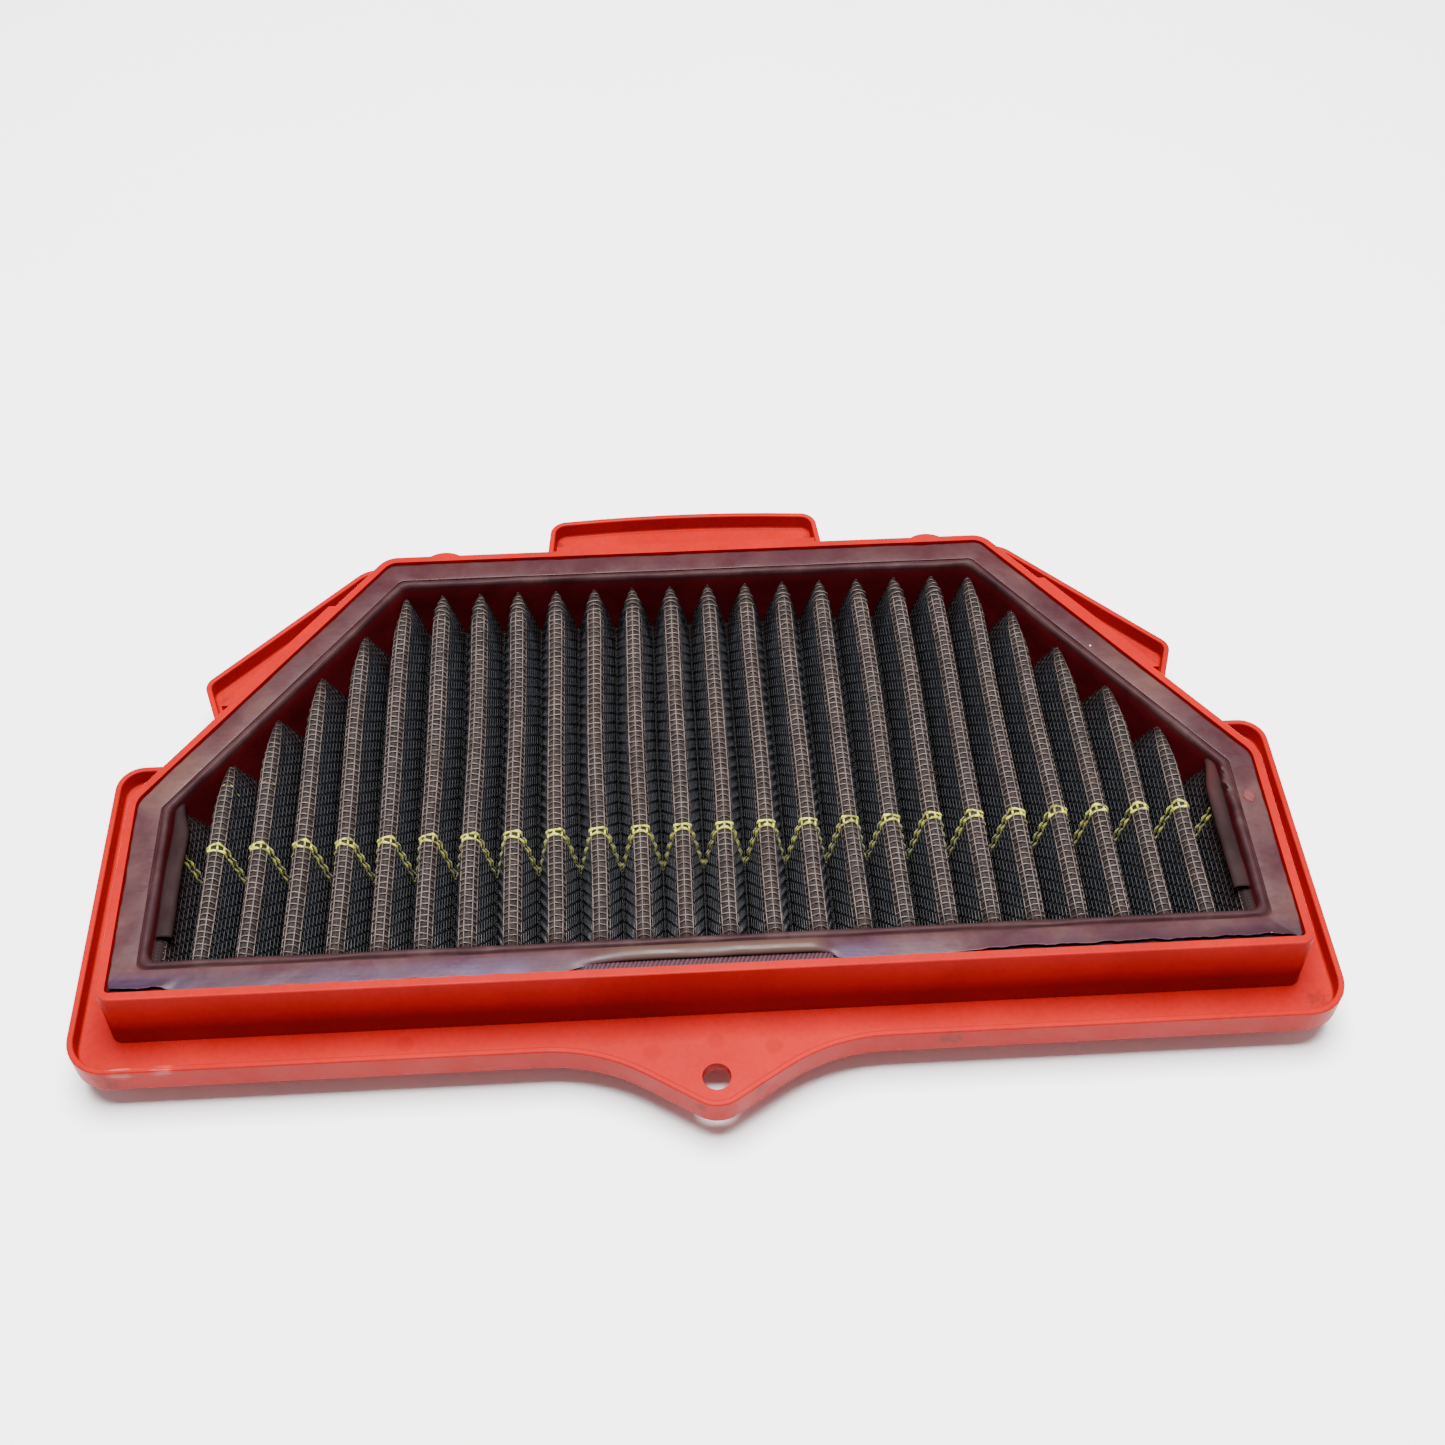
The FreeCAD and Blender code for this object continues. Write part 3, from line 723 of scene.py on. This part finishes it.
def woven_screen(node, underside):
    """Both sets of wires of one screen."""
    path = fold_path(-SCREEN_OFFSET if underside else SCREEN_OFFSET)
    samples = weft_samples(path)
    marked = () if underside else (-1, 0)
    rows = [row for row in ROWS if row not in marked]
    groups = np.array_split(rows, 4)
    for letter, group in zip("abcd", groups):
        lines = [weft_line(path, samples, row_place(row), row)[0] for row in group]
        points, faces = tubes(lines, [WIRE_RADIUS] * len(lines))
        made = pack_piece(
            f"{node}_cross_wires_{letter}", points, faces, CROSS_WIRE, underside
        )
        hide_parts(node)
    length = path[2]
    first = math.ceil(length[0] / WARP_STEP)
    last = math.floor(length[-1] / WARP_STEP)
    place, out = weave_at(path, np.arange(first, last + 1) * WARP_STEP)
    dry = np.abs(place[:, 0]) < WIRE_REACH
    place, out = place[dry], out[dry]
    lines = [
        warp_line(spot, away, number, FRONT_LIMIT, back_limit(spot[0]))
        for number, (spot, away) in enumerate(zip(place, out))
    ]
    points, faces = tubes(lines, [WIRE_RADIUS] * len(lines))
    made = pack_piece(f"{node}_long_wires", points, faces, LONG_WIRE, underside)
    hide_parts(node)
    return path, samples, place, out


def sheet_border(rows, columns):
    """Point numbers round the rim of a grid of points, in order."""
    size = rows * columns
    return (
        list(range(columns))
        + [row * columns + columns - 1 for row in range(1, rows)]
        + list(range(size - 2, size - columns - 1, -1))
        + [row * columns for row in range(rows - 2, 0, -1)]
    )


def gauze_sheet(node, above, thickness, material, underside):
    """Thin closed folded sheet whose back edge follows the slanting walls."""
    upper = fold_path(above, 10, 5)
    lower = fold_path(above - thickness, 10, 5)
    count = 26
    layers, maps = [], []
    for path in (upper, lower):
        points, _, length = path
        back = back_limit(points[:, 0])
        share = np.linspace(0.0, 1.0, count)[:, None]
        y = FRONT_LIMIT + (back - FRONT_LIMIT)[None, :] * share
        x = np.tile(points[:, 0], (count, 1))
        z = np.tile(points[:, 1], (count, 1))
        layers.append(np.stack((x, y, z), -1).reshape(-1, 3))
        maps.append(np.stack((np.tile(length, (count, 1)), y), -1).reshape(-1, 2))
    columns = len(upper[0])
    size = count * columns
    faces = grid_faces(count, columns)
    faces += [tuple(v + size for v in face[::-1]) for face in faces]
    border = sheet_border(count, columns)
    for here, there in zip(border, border[1:] + border[:1]):
        faces.append((there, here, here + size, there + size))
    made = pack_piece(
        f"{node}_cloth",
        np.concatenate(layers),
        faces,
        material,
        underside,
        uv=np.concatenate(maps),
    )
    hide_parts(node)


screen_path, weft_at, warp_spots, warp_out = woven_screen("upper_screen", False)
woven_screen("lower_screen", True)
gauze_sheet("cotton_layer_1", 0.46, 0.34, GAUZE, False)
gauze_sheet("cotton_layer_2", 0.09, 0.20, INNER_GAUZE, False)
gauze_sheet("cotton_layer_3", -0.13, 0.20, INNER_GAUZE, True)
gauze_sheet("cotton_layer_4", -0.35, 0.22, GAUZE, True)


def tracer_front():
    """Two yellow cross strands, fat where they pass over, and the yellow wire lengths between."""
    rows = (-1, 0)
    paths, radii = [], []
    for row in rows:
        path, over = weft_line(screen_path, weft_at, row_place(row), row)
        paths.append(path)
        radii.append(0.31 + 0.12 * over)
    crest = PLEAT_TOP - FOLD_RADIUS
    for number, (spot, away) in enumerate(zip(warp_spots, warp_out)):
        if spot[1] < crest:
            continue
        paths.append(warp_line(spot, away, number, row_place(rows[0]), row_place(rows[1]), 2))
        radii.append(0.24)
    points, faces = tubes(paths, radii, 6)
    made = pack_piece("tracer_front_strands", points, faces, YARN)
    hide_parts("tracer_thread_front")


def tracer_rear():
    """One thin yarn that dips in and out of the gauze under the screen."""
    path = fold_path(0.44)
    samples = weft_samples(path)
    (line, side, rise), _ = weft_line(path, samples, REAR_TRACER, 1)
    sunk = 0.05 + 0.35 * smooth_step(-98.0, -84.0, line[:, 0])
    line = line - side * (sunk + 0.10 * ripple(line[:, 0], 37.0, 21))[:, None]
    points, faces = tubes([(line, side, rise)], [0.12], 6)
    made = pack_piece("tracer_rear_strand", points, faces, YARN)
    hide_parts("tracer_thread_rear")


tracer_front()
tracer_rear()


def potting_ring(node, underside):
    """Ring in the recess, with a rounded inner lip and the skirt below it."""
    seed = 40 if underside else 10
    profile = [
        (2.12, 24.9, 0.0, 0.0, seed),
        (2.12, 26.55, 0.0, 0.0, seed),
        (2.35, 26.85, 0.05, 0.04, seed),
        (4.6, 26.9, 0.0, 0.05, seed),
        (7.2, 26.86, 0.0, 0.05, seed),
        (7.95, 26.84, 0.10, 0.04, seed),
        (8.25, 27.02, 0.12, 0.08, seed),
        (8.42, 27.32, 0.12, 0.12, seed),
        (8.75, 27.52, 0.12, 0.12, seed),
        (9.2, 27.56, 0.08, 0.12, seed),
        (9.6, 27.42, 0.08, 0.12, seed),
        (9.9, 27.05, 0.10, 0.10, seed + 3),
        (10.0, 26.4, 0.10, 0.05, seed + 3),
        (10.0, 23.0, 0.12, 0.0, seed + 5),
        (10.02, 19.0, 0.12, 0.0, seed + 7),
        (10.0, 13.9, 0.0, 0.0, seed),
        (8.05, 13.9, 0.0, 0.0, seed),
        (8.05, 24.9, 0.0, 0.0, seed),
    ]
    sweep = ring_sweep(profile, 0.0 if underside else 0.9)
    around, across = sweep.shape[:2]
    faces = grid_faces(around, across, wrap_rows=True, wrap_columns=True)
    if underside:
        faces = [face[::-1] for face in faces]
    points = flipped(sweep.reshape(-1, 3), underside)
    made = piece(f"{node}_cast", points, faces, POTTING, crease=50.0)
    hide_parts(node)


potting_ring("potting_ring_upper", False)
potting_ring("potting_ring_lower", True)


# Section of the stretch that is pulled back into a roll: inset and height, outer edge first.
ROLLED = (
    (6.1, 27.00),
    (5.2, 26.95),
    (4.5, 27.10),
    (4.2, 27.55),
    (4.4, 28.10),
    (5.0, 28.50),
    (5.9, 28.62),
    (6.7, 28.42),
    (7.2, 27.95),
    (7.4, 27.30),
    (8.0, 27.08),
)


def along_section(section, count):
    """Points spaced evenly along a section."""
    section = np.array(section)
    length = np.concatenate(((0.0,), np.cumsum(np.hypot(*np.diff(section, axis=0).T))))
    at = np.linspace(0.0, length[-1], count)
    return np.stack([np.interp(at, length, section[:, k]) for k in range(2)], 1)


def film_sheet(node, underside):
    """Skin over the potting ring: its outer edge stands off here and there.

    On the upper side a stretch of the front is pulled back into a roll.
    """
    seed = 70 if underside else 60
    count = 25
    shares = np.linspace(0.0, 1.0, count)
    rolled = along_section(ROLLED, count)
    outer, inward, sides = wall_ring(2.35)
    inner, _, _ = wall_ring(7.85)
    steps = np.hypot(*(np.roll(outer, -1, 0) - outer).T)
    along = np.cumsum(steps)
    x = outer[:, 0]
    front = 0.0 if underside else (sides == len(WALL) - 1)
    lifted = front * smooth_step(-131.8, -130.0, x) * smooth_step(-117.5, -119.5, x)
    lifted = lifted + front * smooth_step(50.0, 66.0, x) * smooth_step(131.5, 126.0, x)
    curl = front * smooth_step(ROLL_SPAN[0] - 5.0, ROLL_SPAN[0] + 12.0, x)
    curl = curl * smooth_step(ROLL_SPAN[1] + 1.5, ROLL_SPAN[1] - 4.0, x)
    ragged = 0.10 * ripple(along, 23.0, seed) + 0.06 * ripple(along, 6.0, seed + 2)
    retreat = np.clip(ragged, -0.12, 0.3) + 0.75 * lifted * (0.8 + 0.3 * ripple(along, 9.0, 4))
    fat = 1.0 + 0.10 * ripple(along, 26.0, 5)
    rows = []
    for share, (inset, height) in zip(shares, rolled):
        spot = outer + (inner - outer) * share
        spot = spot + inward * (retreat * (1.0 - share))[:, None]
        level = 27.12 + 0.06 * math.sin(math.pi * share)
        level = level + 0.08 * ripple(along, 33.0, seed + 4) * (1.0 - share) ** 0.5
        level = level + 0.75 * lifted * (1.0 - share) ** 3 - 0.12 * share**6
        back = WALL[0][1] + inset - spot[:, 1]
        spot = spot + np.stack((np.zeros(len(x)), back * curl), 1)
        level = level + (27.0 + (height - 27.0) * fat - level) * curl
        rows.append(np.column_stack((spot, level)))
    sweep = np.stack(rows, 1)
    faces = grid_faces(len(x), count, wrap_rows=True)
    if underside:
        faces = [face[::-1] for face in faces]
    made = piece(
        f"{node}_skin",
        flipped(sweep.reshape(-1, 3), underside),
        faces,
        FILM,
        values={"curl": np.repeat(curl, count)},
    )
    shell = made.modifiers.new("thickness", "SOLIDIFY")
    shell.thickness = 0.26 * MM
    shell.offset = 0.0
    return made


upper_film = film_sheet("seal_film_upper", False)
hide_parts("seal_film_upper", "film_roll_front")
lower_film = film_sheet("seal_film_lower", True)
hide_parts("seal_film_lower")


def nodule():
    """Cured drip of potting on the right-hand side of the ring."""
    mesh = bmesh.new()
    bmesh.ops.create_icosphere(mesh, subdivisions=4, radius=1.0)
    points = np.array([tuple(vertex.co) for vertex in mesh.verts])
    faces = [tuple(vertex.index for vertex in face.verts) for face in mesh.faces]
    mesh.free()
    lumps = 1.0 + 0.10 * ripple(points[:, 0] * 2.0 + points[:, 1] * 3.0, 4.0, 31)
    points = points * lumps[:, None] * (1.5, 1.9, 0.55) + (128.0, -23.8, 27.25)
    piece("potting_drip", points, faces, POTTING)


nodule()


def selvedge():
    """Bare hem of the screen: slanting cords side by side along a low strip."""
    low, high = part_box("screen_hem_front")
    low, high = np.array(low) / MM, np.array(high) / MM
    x = np.linspace(low[0] + 0.4, high[0] - 0.4, 560)
    y = np.linspace(WALL[0][1] + 2.15, WALL[0][1] + 4.9, 14)
    grid_x, grid_y = np.meshgrid(x, y, indexing="ij")
    phase = (grid_x - 0.45 * (grid_y - y[0])) / 0.95
    cord = np.abs(np.sin(math.pi * phase + 0.4 * ripple(grid_x, 13.0, 3))) ** 0.7
    edge = np.sin(math.pi * (grid_y - y[0]) / (y[-1] - y[0])) ** 0.4
    height = 26.86 + (0.10 + 0.24 * cord) * edge
    top = np.stack((grid_x, grid_y, height), -1).reshape(-1, 3)
    bottom = top.copy()
    bottom[:, 2] = 26.8
    rows, columns = len(x), len(y)
    size = rows * columns
    faces = [face[::-1] for face in grid_faces(rows, columns)]
    faces += [tuple(v + size for v in face[::-1]) for face in faces]
    border = sheet_border(rows, columns)
    for here, there in zip(border, border[1:] + border[:1]):
        faces.append((here, there, there + size, here + size))
    crest = np.concatenate((cord.ravel(), np.zeros(size)))
    made = piece(
        "screen_hem_cords",
        np.concatenate((top, bottom)),
        faces,
        HEM,
        values={"crest": crest},
    )
    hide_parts("screen_hem_front")


selvedge()


def closing_strip(side):
    """Strip over the outermost half pleat, with its inner edge turned down."""
    low, high = (np.array(corner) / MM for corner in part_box(f"end_strip_{side}"))
    outward = 1.0 if side == "right" else -1.0
    inner = min(abs(low[0]), abs(high[0]))
    outer = max(abs(low[0]), abs(high[0]))
    section = (
        (outer, 25.15),
        (outer - 0.5, 25.35),
        (outer - 1.4, 25.42),
        (outer - 2.4, 25.38),
        (inner + 0.45, 25.2),
        (inner + 0.1, 24.9),
        (inner, 24.3),
    )
    y = np.linspace(low[1], high[1], 40)
    rows = []
    for spot in y:
        drift = 0.12 * float(ripple(spot, 31.0, 8 if side == "left" else 9))
        fade = float(smooth_step(high[1], high[1] - 9.0, spot))
        rows.append(
            [
                (outward * (outer - (outer - x) * (0.55 + 0.45 * fade) + drift), spot, z + drift)
                for x, z in section
            ]
        )
    faces = grid_faces(len(y), len(section))
    if side == "right":
        faces = [face[::-1] for face in faces]
    made = piece(
        f"end_strip_{side}_sheet", np.array(rows).reshape(-1, 3), faces, STRIP
    )
    shell = made.modifiers.new("thickness", "SOLIDIFY")
    shell.thickness = 0.3 * MM
    shell.offset = 0.0
    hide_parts(f"end_strip_{side}")


closing_strip("left")
closing_strip("right")

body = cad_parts["moulded_frame"]
body.data.materials.clear()
body.data.materials.append(RUBBER)


# ---------------------------------------------------------------- floor, light and camera

floor_mesh = bpy.data.meshes.new("floor")
floor_mesh.from_pydata([(-4, -4, 0), (4, -4, 0), (4, 4, 0), (-4, 4, 0)], [], [(0, 1, 2, 3)])
floor_mesh.materials.append(pale_floor())
floor = bpy.data.objects.new("floor", floor_mesh)
bpy.context.scene.collection.objects.link(floor)

world = bpy.data.worlds.new("studio")
world.use_nodes = True
world.node_tree.nodes["Background"].inputs["Color"].default_value = (1.0, 1.0, 1.0, 1.0)
world.node_tree.nodes["Background"].inputs["Strength"].default_value = 0.38
bpy.context.scene.world = world


def softbox(name, place, aim, size, power):
    lamp = bpy.data.lights.new(name, "AREA")
    lamp.shape = "SQUARE"
    lamp.size = size
    lamp.energy = power
    lamp_object = bpy.data.objects.new(name, lamp)
    lamp_object.location = place
    lamp_object.rotation_euler = (Vector(aim) - Vector(place)).to_track_quat("-Z", "Y").to_euler()
    bpy.context.scene.collection.objects.link(lamp_object)


softbox("overhead", (0.0, 0.08, 1.2), (0.0, 0.0, 0.0), 0.7, 80.0)

# Camera, as a distance from the part, a heading, a tilt and a lens.
CAMERA_SPOT = (-0.01015, -0.27607, 0.36659)
HEADING = math.radians(3.312)
TILT = math.radians(50.284)
ROLL = math.radians(0.077)
SENSOR = 36.0
FOCAL = 1823.89 / 1445.0 * SENSOR

forward = Vector(
    (math.sin(HEADING) * math.cos(TILT), math.cos(HEADING) * math.cos(TILT), -math.sin(TILT))
)
level_right = Vector((math.cos(HEADING), -math.sin(HEADING), 0.0))
level_up = level_right.cross(forward)
right = level_right * math.cos(ROLL) + level_up * math.sin(ROLL)
up = right.cross(forward)
camera = bpy.data.objects.new("camera", bpy.data.cameras.new("camera"))
camera.data.sensor_width = SENSOR
camera.data.lens = FOCAL
turn = Matrix((right, up, -forward)).transposed().to_4x4()
camera.matrix_world = Matrix.Translation(CAMERA_SPOT) @ turn
bpy.context.scene.collection.objects.link(camera)
bpy.context.scene.camera = camera
